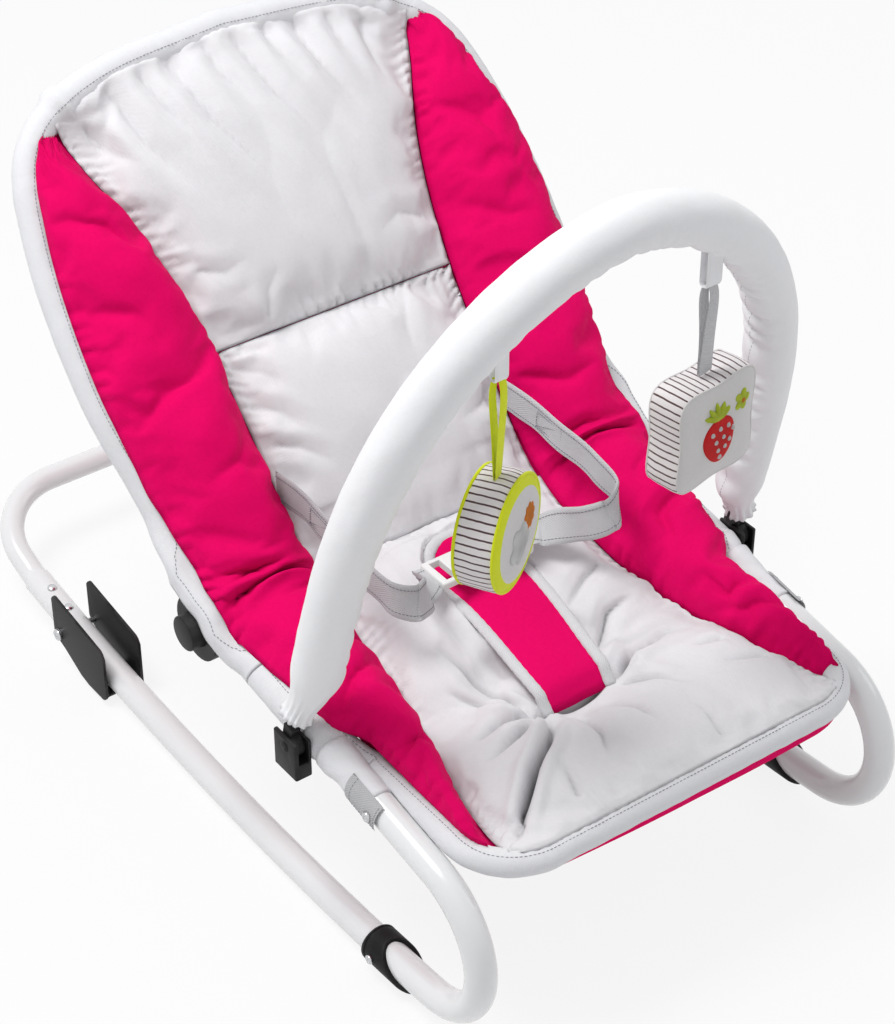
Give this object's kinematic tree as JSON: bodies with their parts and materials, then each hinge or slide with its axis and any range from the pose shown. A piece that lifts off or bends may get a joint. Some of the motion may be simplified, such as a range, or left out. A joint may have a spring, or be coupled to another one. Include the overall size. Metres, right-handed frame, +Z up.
{
  "type": "baby rocker",
  "caption": "Padded baby rocker on curved tube runners, with a reclining backrest, hip harness, flip-down rear feet and a tilting padded toy bar with hanging toys.",
  "frame": {"origin": "on the floor, under the middle of the rocker's length and width", "axes": "+Z up; the child sits facing -Y with its feet at -Y; node names say left for the -X side and right for the +X side"},
  "size_m": [0.4768, 0.7844, 0.6236],
  "materials": {
    "white_tube": "gloss",
    "black_plastic": "matte",
    "black_rubber": "matte",
    "bright_fastener": "polished",
    "pink_cloth": "matte",
    "grey_cloth": "matte",
    "hem_cloth": "matte",
    "white_cloth": "matte",
    "strap_cloth": "matte",
    "white_plastic": "gloss",
    "toy_cloth": "matte",
    "lime_cloth": "matte"
  },
  "bodies": {
    "rocker_frame": {"side_tube_left": "white_tube", "side_tube_right": "white_tube", "rear_bar": "white_tube", "rear_rivet_left_1": "bright_fastener", "rear_rivet_left_2": "bright_fastener", "rear_rivet_right_1": "bright_fastener", "rear_rivet_right_2": "bright_fastener", "front_rail": "white_tube", "rail_screw_left": "bright_fastener", "rail_screw_right": "bright_fastener", "front_shoe_left": "black_rubber", "front_shoe_right": "black_rubber", "shoe_screw_left": "bright_fastener", "shoe_screw_right": "bright_fastener", "foot_pin_left": "bright_fastener", "foot_pin_right": "bright_fastener", "hinge_housing_left": "black_plastic", "hinge_housing_right": "black_plastic", "hinge_pin_left": "bright_fastener", "hinge_pin_right": "bright_fastener", "side_hem_left": "hem_cloth", "side_hem_right": "hem_cloth", "front_hem": "hem_cloth", "seat_pad": "grey_cloth", "seat_bolster_left": "pink_cloth", "seat_bolster_right": "pink_cloth", "seat_underlay": "pink_cloth", "crotch_pad": "pink_cloth", "buckle_tongue": "white_plastic", "buckle_housing": "white_plastic", "hip_strap_left": "strap_cloth", "hip_strap_right": "strap_cloth", "toy_bar_clip_left": "black_plastic", "toy_bar_clip_right": "black_plastic", "toy_bar_pin_left": "bright_fastener", "toy_bar_pin_right": "bright_fastener"},
    "backrest": {"backrest_disc_left": "black_plastic", "backrest_disc_right": "black_plastic", "backrest_tube": "white_tube", "backrest_hem": "hem_cloth", "back_pad_lower": "grey_cloth", "back_pad_upper": "grey_cloth", "back_bolster_left": "pink_cloth", "back_bolster_right": "pink_cloth", "back_underlay": "pink_cloth"},
    "recline_button_left": {"recline_button_left": "black_plastic"},
    "recline_button_right": {"recline_button_right": "black_plastic"},
    "rear_foot_left": {"rear_foot_left": "black_plastic"},
    "rear_foot_right": {"rear_foot_right": "black_plastic"},
    "toy_bar": {"toy_bar_rod": "white_tube", "toy_bar_pad": "white_cloth", "toy_bar_knuckle_left": "black_plastic", "toy_bar_knuckle_right": "black_plastic"},
    "round_toy": {"round_toy": "toy_cloth", "round_toy_tape": "lime_cloth"},
    "square_toy": {"square_toy": "toy_cloth", "square_toy_tape": "strap_cloth"},
    "buckle_prong_front": {"buckle_prong_front": "white_plastic"},
    "buckle_prong_rear": {"buckle_prong_rear": "white_plastic"}
  },
  "joints": [
    {"name": "backrest_recline", "type": "hinge", "parent": "rocker_frame", "child": "backrest", "pos_m": [0, -0.0358, 0.205], "axis": [1, 0, 0], "range_deg": [-45, 0]},
    {"name": "recline_button_left_press", "type": "slide", "parent": "rocker_frame", "child": "recline_button_left", "axis": [1, 0, 0], "range_m": [0, 0.005], "stiffness_N_per_m": 300},
    {"name": "recline_button_right_press", "type": "slide", "parent": "rocker_frame", "child": "recline_button_right", "axis": [-1, 0, 0], "range_m": [0, 0.005], "stiffness_N_per_m": 300},
    {"name": "rear_foot_left_fold", "type": "hinge", "parent": "rocker_frame", "child": "rear_foot_left", "pos_m": [-0.2, 0.2172, 0.03135], "axis": [1, 0, 0], "range_deg": [0, 90]},
    {"name": "rear_foot_right_fold", "type": "hinge", "parent": "rocker_frame", "child": "rear_foot_right", "pos_m": [0.2, 0.2172, 0.03135], "axis": [1, 0, 0], "range_deg": [0, 90]},
    {"name": "toy_bar_tilt", "type": "hinge", "parent": "rocker_frame", "child": "toy_bar", "pos_m": [0, -0.1728, 0.18397], "axis": [1, 0, 0], "range_deg": [-20, 35]},
    {"name": "round_toy_swing", "type": "hinge", "parent": "toy_bar", "child": "round_toy", "pos_m": [-0.1, -0.26158, 0.51209], "axis": [1, 0, 0], "range_deg": [-30, 30]},
    {"name": "square_toy_swing", "type": "hinge", "parent": "toy_bar", "child": "square_toy", "pos_m": [0.088, -0.26373, 0.52007], "axis": [1, 0, 0], "range_deg": [-30, 30]},
    {"name": "buckle_prong_front_press", "type": "slide", "parent": "rocker_frame", "child": "buckle_prong_front", "axis": [0, 1, 0], "range_m": [0, 0.002], "stiffness_N_per_m": 200},
    {"name": "buckle_prong_rear_press", "type": "slide", "parent": "rocker_frame", "child": "buckle_prong_rear", "axis": [0, -1, 0], "range_m": [0, 0.002], "stiffness_N_per_m": 200}
  ]
}
